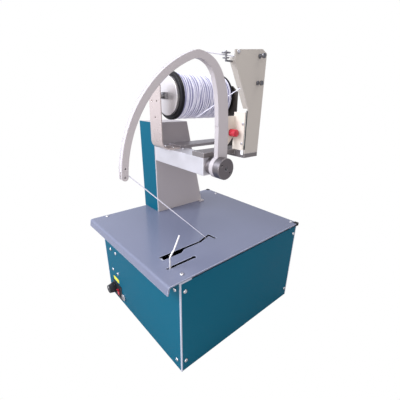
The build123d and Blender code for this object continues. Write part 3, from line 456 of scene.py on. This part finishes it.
# In every look below, the pale edge colour is part wear and part painted highlight.
metals = {
    # fine-ground aluminium: almost white, faint streaks along the beam
    "groundAluminium": {"colour": "#efeef2", "streaked": "#e0dfe3", "along": "x", "streakMm": 0.8,
                        "edgeMm": 1.0, "wornAndHighlitEdgeColour": "#f2f2f4", "depth": 0.12, "roughness": 0.34,
                        "metallic": 0.8},
    # sawn and milled aluminium block, duller than the ground housing
    "milledAluminium": {"colour": "#8d8887", "streaked": "#807b7a", "along": "y", "streakMm": 1.2,
                        "edgeMm": 1.0, "wornAndHighlitEdgeColour": "#efecec", "depth": 0.2, "roughness": 0.42,
                        "metallic": 0.6},
    # rolled stainless strip: warm and bright, streaks upwards
    "rolledStainless": {"colour": "#cfc2bd", "streaked": "#c0b3ae", "along": "z", "streakMm": 0.7,
                        "edgeMm": 0.8, "wornAndHighlitEdgeColour": "#f5efed", "depth": 0.15, "roughness": 0.3,
                        "metallic": 0.6},
    # machined mild steel inside the cabinet
    "machinedSteel": {"colour": "#8f8f92", "streaked": "#77777b", "along": "x", "streakMm": 0.6,
                      "edgeMm": 0.6, "wornAndHighlitEdgeColour": "#c2c2c5", "depth": 0.2, "roughness": 0.35,
                      "metallic": 1.0},
    # stainless button screws, tumbled bright
    "tumbledStainless": {"colour": "#dcdcde", "streaked": "#c9c9cc", "along": "z", "streakMm": 1.0,
                         "edgeMm": 0.3, "wornAndHighlitEdgeColour": "#eeeeef", "depth": 0.05, "roughness": 0.2,
                         "metallic": 1.0},
    # cold-rolled flat bar: grey mill finish
    "coldRolledBar": {"colour": "#a39d9f", "streaked": "#8d8789", "along": "y", "streakMm": 0.8,
                      "edgeMm": 0.8, "wornAndHighlitEdgeColour": "#d9d6d6", "depth": 0.15, "roughness": 0.35,
                      "metallic": 0.7},
    # drawn spring wire
    "drawnWire": {"colour": "#eeecec", "streaked": "#d9d7d8", "along": "z", "streakMm": 0.4,
                  "edgeMm": 0.2, "wornAndHighlitEdgeColour": "#ffffff", "depth": 0.05, "roughness": 0.3,
                  "metallic": 0.4},
}
# In every look below, the pale edge colour is part wear and part painted highlight.
turned = {
    # hub and clamp disc, faced on a lathe: dark steel with rings
    "facedSteel": {"colour": "#8a8587", "streaked": "#6d686a", "axis": "x",
                   "centre": (0, -0.033, 0.441), "ringMm": 0.7, "edgeMm": 0.9,
                   "wornAndHighlitEdgeColour": "#c9c6c7", "depth": 0.3, "roughness": 0.32, "metallic": 0.9},
    # the disc in front of the spool, faced aluminium
    "facedAluminium": {"colour": "#e9e5e4", "streaked": "#cfcbca", "axis": "y",
                       "centre": (-0.07, 0, 0.589), "ringMm": 1.0, "edgeMm": 0.8,
                       "wornAndHighlitEdgeColour": "#f0eeed", "depth": 0.3, "roughness": 0.35, "metallic": 0.8},
    # cast and turned belt pulleys
    "turnedPulley": {"colour": "#b5b6b9", "streaked": "#98999d", "axis": "x",
                     "centre": (0, 0.09, 0.067), "ringMm": 0.8, "edgeMm": 0.6,
                     "wornAndHighlitEdgeColour": "#dcdde0", "depth": 0.2, "roughness": 0.4, "metallic": 0.9},
}
plastics = {
    # ABS knobs and plates: near black, fine satin grain
    "blackAbs": {"colour": "#17171b", "clouded": "#1f1f24", "grainMm": 0.5, "grain": 0.2,
                 "roughness": 0.38, "ior": 1.46},
    # bobbin flange: black polypropylene, smoother and slightly violet in the light
    "blackPolypropylene": {"colour": "#141316", "clouded": "#19181b", "grainMm": 1.2, "grain": 0.1,
                           "roughness": 0.38, "ior": 1.49, "edgeMm": 1.0, "gloss": 0.2},
    # red phenolic knob, polished
    "redPhenolic": {"colour": "#b9142c", "clouded": "#c41a33", "grainMm": 1.5, "grain": 0.05,
                    "roughness": 0.22, "ior": 1.55, "coat": 0.3},
    # belt rubber, matte
    "beltRubber": {"colour": "#151515", "clouded": "#1d1d1d", "grainMm": 0.6, "grain": 0.4,
                   "roughness": 0.75, "ior": 1.52},
    # solder mask on the board
    "solderMask": {"colour": "#0c5a2e", "clouded": "#0a4f28", "grainMm": 2.0, "grain": 0.1,
                   "roughness": 0.35, "ior": 1.5},
    # painted casting of the gear motor: dark grey, pebbled by the sand mould
    "paintedCasting": {"colour": "#43464b", "clouded": "#4d5055", "grainMm": 1.6, "grain": 0.7,
                       "roughness": 0.5, "ior": 1.5},
    # glazed ceramic eyelet
    "glazedCeramic": {"colour": "#efe9dd", "clouded": "#f4efe5", "grainMm": 2.0, "grain": 0.02,
                      "roughness": 0.12, "ior": 1.6},
    # printed film label, plain yellow
    "labelFilm": {"colour": "#e8e23a", "clouded": "#e2dc30", "grainMm": 1.0, "grain": 0.03,
                  "roughness": 0.35, "ior": 1.5},
    # white ink on the controls
    "whiteInk": {"colour": "#f1f1ee", "clouded": "#e9e9e6", "grainMm": 0.5, "grain": 0.03,
                 "roughness": 0.5, "ior": 1.5},
}


# Painted shade on the laser-cut walls of the slots: below the top face and inside the plate's
# outline the colour turns near black, for the shade inside the thin walls.
def paintShadeOnCutWalls(material, look):
    tree = material.node_tree
    shader = next(node for node in tree.nodes if node.type == "BSDF_PRINCIPLED")
    painted = shader.inputs["Base Color"].links[0].from_socket
    place = addNode(tree, "ShaderNodeTexCoord").outputs["Object"]
    away = addNode(tree, "ShaderNodeVectorMath", {"operation": "SUBTRACT"}, {
        0: place, 1: look["centre"],
    })
    size = addNode(tree, "ShaderNodeVectorMath", {"operation": "ABSOLUTE"}, {0: away.outputs[0]})
    axes = addNode(tree, "ShaderNodeSeparateXYZ", None, {0: size.outputs[0]})
    inside = 1.0
    for axis, half in enumerate(look["half"]):
        near = addNode(tree, "ShaderNodeMath", {"operation": "LESS_THAN"}, {
            0: axes.outputs[axis], 1: half,
        })
        both = addNode(tree, "ShaderNodeMath", {"operation": "MULTIPLY"}, {
            0: near.outputs[0], 1: inside,
        })
        inside = both.outputs[0]
    # the near-black colour mixed in here is painted shade
    colour = addNode(tree, "ShaderNodeMix", {"data_type": "RGBA"}, {
        0: inside, 6: painted, 7: hexColour(look["cutWallShade"]),
    })
    tree.links.new(colour.outputs[2], shader.inputs["Base Color"])


finishes = {name: enamel(name, look) for name, look in enamels.items()}
cutWalls = {"paintMm": 0.2, "halfDepthMm": 5.0}  # paint's thickness, half of the walls' height
wallMiddle = (cutWalls["paintMm"] + cutWalls["halfDepthMm"]) * mm
paintShadeOnCutWalls(finishes["tableSatinEnamel"], {
    "cutWallShade": "#060606",
    "centre": (0, -0.01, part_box("table_plate")[1][2] - wallMiddle),
    "half": (0.185, 0.19, cutWalls["halfDepthMm"] * mm),
})
finishes.update({name: brushedMetal(name, look) for name, look in metals.items()})
finishes.update({name: turnedMetal(name, look) for name, look in turned.items()})
finishes.update({name: mouldedPlastic(name, look) for name, look in plastics.items()})


# Elastic thread with a spun cover: white-lavender, darker where plies meet.
def threadCover(name, look):
    material, tree, shader = newMaterial(name)
    place = addNode(tree, "ShaderNodeTexCoord").outputs["Object"]
    fuzz = addNode(tree, "ShaderNodeTexNoise", None, {
        "Vector": place, "Scale": 1 / (look["fibreMm"] * mm), "Detail": 3.0,
    })
    cloud = addNode(tree, "ShaderNodeTexNoise", None, {
        "Vector": place, "Scale": 1 / (look["cloudMm"] * mm),
    })
    both = addNode(tree, "ShaderNodeMath", {"operation": "MULTIPLY_ADD"}, {
        0: cloud.outputs[0], 1: look["cloud"], 2: fuzz.outputs[0],
    })
    share = addNode(tree, "ShaderNodeMapRange", None, {
        "Value": both.outputs[0], "From Min": look["dark"], "From Max": look["light"],
    })
    colour = addNode(tree, "ShaderNodeMix", {"data_type": "RGBA"}, {
        0: share.outputs[0], 6: hexColour(look["shade"]), 7: hexColour(look["colour"]),
    })
    tree.links.new(colour.outputs[2], shader.inputs["Base Color"])
    bump = addNode(tree, "ShaderNodeBump", None, {
        "Height": fuzz.outputs[0], "Strength": look["fuzz"], "Distance": relief["fuzzMm"] * mm,
    })
    tree.links.new(bump.outputs[0], shader.inputs["Normal"])
    setShader(shader, {
        "Roughness": 0.7, "Sheen Weight": 0.25, "Sheen Roughness": 0.5, "IOR": 1.5,
    })
    return material


threadLook = {"colour": "#f3f2fb", "shade": "#dcdcec", "fibreMm": 0.4, "cloudMm": 14,
              "cloud": 0.7, "dark": 0.55, "light": 1.15, "fuzz": 0.4}
# the layer under the loose turns: the same thread, its colour darkened as painted shade from the
# turns above it
underLook = {**threadLook, "colour": "#9c9cbc", "shade": "#8484a6"}
finishes["spunThreadCover"] = threadCover("spunThreadCover", threadLook)
finishes["paintedShadeUnderThread"] = threadCover("paintedShadeUnderThread", underLook)

nodeFinishes = {
    "tealPowderCoat": ["front_panel", "side_panels", "back_panel", "column_front_cover"],
    "tableSatinEnamel": ["table_plate"],
    "columnGreyEnamel": ["column_cover", "column_side_plate"],
    "frameGreyEnamel": ["cabinet_frame"],
    "guideGreyEnamel": ["guide_plate"],
    "creamEnamel": ["tension_bracket"],
    "darkRearPlate": ["spool_rear_plate"],
    "armGreyEnamel": ["swing_arm"],
    "zincPlate": ["base_plate"],
    "groundAluminium": ["beam_housing"],
    "milledAluminium": ["guide_carrier"],
    "coldRolledBar": ["spool_bar"],
    "tumbledStainless": ["panel_screws", "bracket_screws", "pedal_socket"],
    "rolledStainless": ["spool_bracket"],
    "machinedSteel": ["thread_guides", "bearings", "knotter_bracket", "trigger_block",
                      "rocker_lever", "connecting_rod", "crank_disc", "cutter_lever",
                      "spool_axle", "tension_discs", "main_shaft", "knotter_bill", "arm_shaft"],
    "drawnWire": ["springs", "trigger_wire"],
    "facedSteel": ["arm_hub", "hub_disc"],
    "facedAluminium": ["spool_disc"],
    "turnedPulley": ["upper_pulley", "lower_pulley", "drive_pulley", "knotter_pulley"],
    "blackAbs": ["control_plate", "speed_knob", "power_inlet", "trigger_switch"],
    "blackPolypropylene": ["spool_bobbin"],
    "redPhenolic": ["power_rocker", "tension_knob"],
    "beltRubber": ["arm_belt", "knotter_belt"],
    "solderMask": ["control_board"],
    "paintedCasting": ["gear_motor"],
    "glazedCeramic": ["arm_eyelets"],
}
for finish, names in nodeFinishes.items():
    paint(finishes[finish], *names)
print("finishes made for", sum(len(v) for v in nodeFinishes.values()), "nodes")

# Points are in millimetres. "armRadius" and "armAngles" follow the arm's outer edge, in degrees
# above the level line that runs from its shaft to the front.
threads = {
    "radius": 1.1 * mm,
    "supply": [(-12, -2, 541), (106, 23.5, 608), (106, 24.4, 666.5), (102.8, -24, 666.5)],
    "bridge": [(102.8, -24.3, 666.5), (105.5, -104.2, 665.6)],
    "tie": [(105.5, -253.7, 457.4), (91.5, -54.0, 258.5)],
    "tieKeep": 0.02,  # share of the tie thread's length that is left at the arm's limit
    "armAxis": (0.1055, -0.033, 0.441),  # the arm's shaft, in metres
    "armRadius": 235.6,
    "armAngles": (71.0, 6.2),
    "armPoints": 480,
    "cornerPasses": 24,
}


# Points evenly spaced along straight runs, in metres.
def straightRun(points, spacing=0.6):
    points = np.array(points, float) * mm
    out = [points[:1]]
    for a, b in zip(points[:-1], points[1:]):
        count = max(2, int(np.linalg.norm(b - a) / (spacing * mm)))
        t = np.linspace(0, 1, count + 1)[1:, None]
        out.append(a + t * (b - a))
    return np.concatenate(out)


# The straight runs with each corner softened by averaging neighbours.
def roundedRun(points, spacing=0.6):
    path = straightRun(points, spacing)
    for _ in range(threads["cornerPasses"]):
        path[1:-1] = (path[:-2] + 2 * path[1:-1] + path[2:]) / 4
    return path


# One thread in the place of its CAD node, which is hidden: with ends given its transform is
# applied and it is on no body, and without them it is carried by one body.
def threadPiece(name, path, node, body, ends=None, aside=(1.0, 0, 0)):
    verts, faces = twistedTube(path, threads["radius"], aside=aside)
    piece = meshPiece(name, verts, faces, finishes["spunThreadCover"])
    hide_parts(node)
    if ends:
        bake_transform(piece)
    else:
        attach(piece, body)
    return piece


supplyPath = roundedRun(threads["supply"])
threadPiece("supplyThread", supplyPath, "supply_thread", "frame", aside=(0.6, -0.8, 0.1))
bridgePath = straightRun(threads["bridge"])
threadPiece("bridgeThread", bridgePath, "bridge_thread", None,
            ("frame", "arm", tuple(bridgePath[0]), tuple(bridgePath[-1])))
# As the arm goes down, the thread that ties is drawn in towards the slot, and at the arm's limit
# the arm's tip is under the table. Here it is laid once, straight, on the frame, with a mesh of its
# own.
tiePath = straightRun(threads["tie"])
tieThread = threadPiece("tieThread", tiePath, "tie_thread", "frame")
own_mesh(tieThread)
# along the arm's edge: an arc about the arm's shaft
sweep = np.radians(np.linspace(*threads["armAngles"], threads["armPoints"]))
edgeRadius = threads["armRadius"] * mm
shaftX, shaftY, shaftZ = threads["armAxis"]
edgePath = np.stack([
    np.full_like(sweep, shaftX),
    shaftY - edgeRadius * np.cos(sweep),
    shaftZ + edgeRadius * np.sin(sweep),
], axis=-1)
threadPiece("armThread", edgePath, "arm_thread", "arm")
print("threads laid")

# "waves" holds the slow waves of the strand's wander. Each is share * sin(times * angle
# + grow * t + follow * phase), listed as times, grow, follow, share. A layer's depth below the
# CAD winding's surface is so many strand radii, then millimetres.
winding = {
    "turns": 24, "crossTurns": 10, "strandMm": 1.35, "wanderMm": 2.6, "crossWander": 2.6,
    "coreMm": 20.3, "underMm": 53.2, "coreSides": 96, "breatheMm": 0.25,
    "waves": [(1.0, 3.0, 0.0, 0.6), (2.0, 40.0, 1.0, 0.3), (3.0, -25.0, 0.0, 0.2)],
    "breatheTurns": 0.37, "endGap": 1.1, "turnsDepth": (1.3, 0.5), "crossDepth": (1.0, 0.3),
    "crossPhase": 1.9, "perTurn": 72, "strandSides": 6,
    "ply": {"lobes": 2, "depth": 0.05, "pitch": 0.008},
}


# Helix about the spool's axis: the angle grows steadily, the distance along the axis grows with
# it and wanders by a sum of slow waves, and the radius breathes a little.
def windingStrand(look, turns, radius, wander, phase):
    low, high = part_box("thread_winding")
    strand = look["strandMm"] * mm
    centre = (np.array(low) + np.array(high)) / 2
    t = np.linspace(0, 1, turns * look["perTurn"])
    angle = 2 * np.pi * turns * t + phase
    gap = strand * look["endGap"]
    along = low[1] + gap + (high[1] - low[1] - 2 * gap) * t
    drift = wander * sum(share * np.sin(times * angle + grow * t + follow * phase)
                         for times, grow, follow, share in look["waves"])
    fade = np.clip(np.minimum(t, 1 - t) * turns / 2, 0, 1)
    along = np.clip(along + drift * fade, low[1] + strand, high[1] - strand)
    breathe = radius + look["breatheMm"] * mm * np.sin(look["breatheTurns"] * angle + phase)
    path = np.stack([
        centre[0] + breathe * np.cos(angle), along, centre[2] + breathe * np.sin(angle),
    ], axis=-1)
    return twistedTube(path, strand, sides=look["strandSides"], aside=(0, 1.0, 0), **look["ply"])


# The winding: a closed sleeve, the turns laid side by side on it, and a few that cross them.
def buildWinding(look):
    low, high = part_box("thread_winding")
    outer = (high[0] - low[0]) / 2
    strand = look["strandMm"] * mm
    centre = (np.array(low) + np.array(high)) / 2
    # sleeve: the radius follows a four-point profile, turned about the spool's axis
    inner, under, sides = look["coreMm"] * mm, look["underMm"] * mm, look["coreSides"]
    profileR = np.array([inner, under, under, inner])
    profileY = np.array([low[1], low[1], high[1], high[1]])
    angle = np.linspace(0, 2 * np.pi, sides, endpoint=False)
    verts = np.stack([
        centre[0] + profileR[:, None] * np.cos(angle)[None],
        np.repeat(profileY[:, None], sides, axis=1),
        centre[2] + profileR[:, None] * np.sin(angle)[None],
    ], axis=-1).reshape(-1, 3)
    # the sleeve's dark colour is painted shade from the turns above it
    sleeve = meshPiece("windingCore", verts, gridFaces(4, sides, wrapRows=True)[:, ::-1],
                       finishes["paintedShadeUnderThread"], smooth=False)
    wander = look["wanderMm"] * mm
    turnsAt, crossAt = (outer - strand * radii - extra * mm
                        for radii, extra in (look["turnsDepth"], look["crossDepth"]))
    # name, turns, radius, wander, phase
    layers = [
        ("windingStrands", look["turns"], turnsAt, wander, 0.0),
        ("windingCrossing", look["crossTurns"], crossAt, wander * look["crossWander"],
         look["crossPhase"]),
    ]
    made = [sleeve]
    for name, *layer in layers:
        verts, faces = windingStrand(look, *layer)
        made.append(meshPiece(name, verts, faces, finishes["spunThreadCover"]))
    for piece in made:
        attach(piece, "spool")
    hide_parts("thread_winding")


buildWinding(winding)
print("spool wound")


# A closed slab: the box between two corners, its edges rounded by a bevel modifier.
def slab(name, low, high, material, body, edge=0.4):
    low = np.array(low) * mm
    high = np.array(high) * mm
    corners = np.array([[i, j, k] for i in (0, 1) for j in (0, 1) for k in (0, 1)])
    verts = low + corners * (high - low)
    faces = [[0, 1, 3, 2], [4, 6, 7, 5], [0, 4, 5, 1], [2, 3, 7, 6], [0, 2, 6, 4], [1, 5, 7, 3]]
    piece = meshPiece(name, verts, faces, material, smooth=False)
    bevel = piece.modifiers.new("edge", "BEVEL")
    bevel.width = edge * mm
    bevel.segments = 3
    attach(piece, body)
    return piece


# Corners in millimetres, then the finish, the slot and the edge's radius. All are on the frame.
trim = {
    "yellowLabel": ((-156, -210.35, 64), (-121, -210.0, 77), "labelFilm", "red_plastic", 0.15),
    "labelBorder": ((-157, -210.2, 63), (-120, -210.0, 78), "blackAbs", "black_plastic", 0.08),
    "cornerCapRight": ((186, 200, 252), (198.2, 212.2, 261.2), "beltRubber", "black_plastic", 1.2),
    "cornerCapLeft": ((-198.2, 200, 252), (-186, 212.2, 261.2), "beltRubber", "black_plastic", 1.2),
    # a near-black strip along the wedge's front edge: painted shade, standing in for the shadow in
    # the gap there
    "shadowGapStrip": ((112.2, 43.2, 474), (115.4, 44.3, 562), "beltRubber", "black_plastic", 0.5),
    "whiteTab": ((104, 41.4, 461), (112, 43.8, 474), "whiteInk", "thread_white", 0.4),
}
for name, (low, high, finish, slotName, edge) in trim.items():
    slab(name, low, high, finishes[finish], "frame", edge)
# the knob's white pointer: a thin bar on its face, from near the middle out to near the rim
pointer = {"halfWidth": 0.9, "proud": 0.15, "sunk": 0.4, "fromMiddle": 4, "toRim": 3, "edge": 0.1}
knobLow, knobHigh = (np.array(corner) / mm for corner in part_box("speed_knob"))
knobX, _, knobZ = (knobLow + knobHigh) / 2
slab("knobPointer",
     (knobX - pointer["halfWidth"], knobLow[1] - pointer["proud"], knobZ + pointer["fromMiddle"]),
     (knobX + pointer["halfWidth"], knobLow[1] + pointer["sunk"], knobHigh[2] - pointer["toRim"]),
     finishes["whiteInk"], "knob", pointer["edge"])
print("trim added")
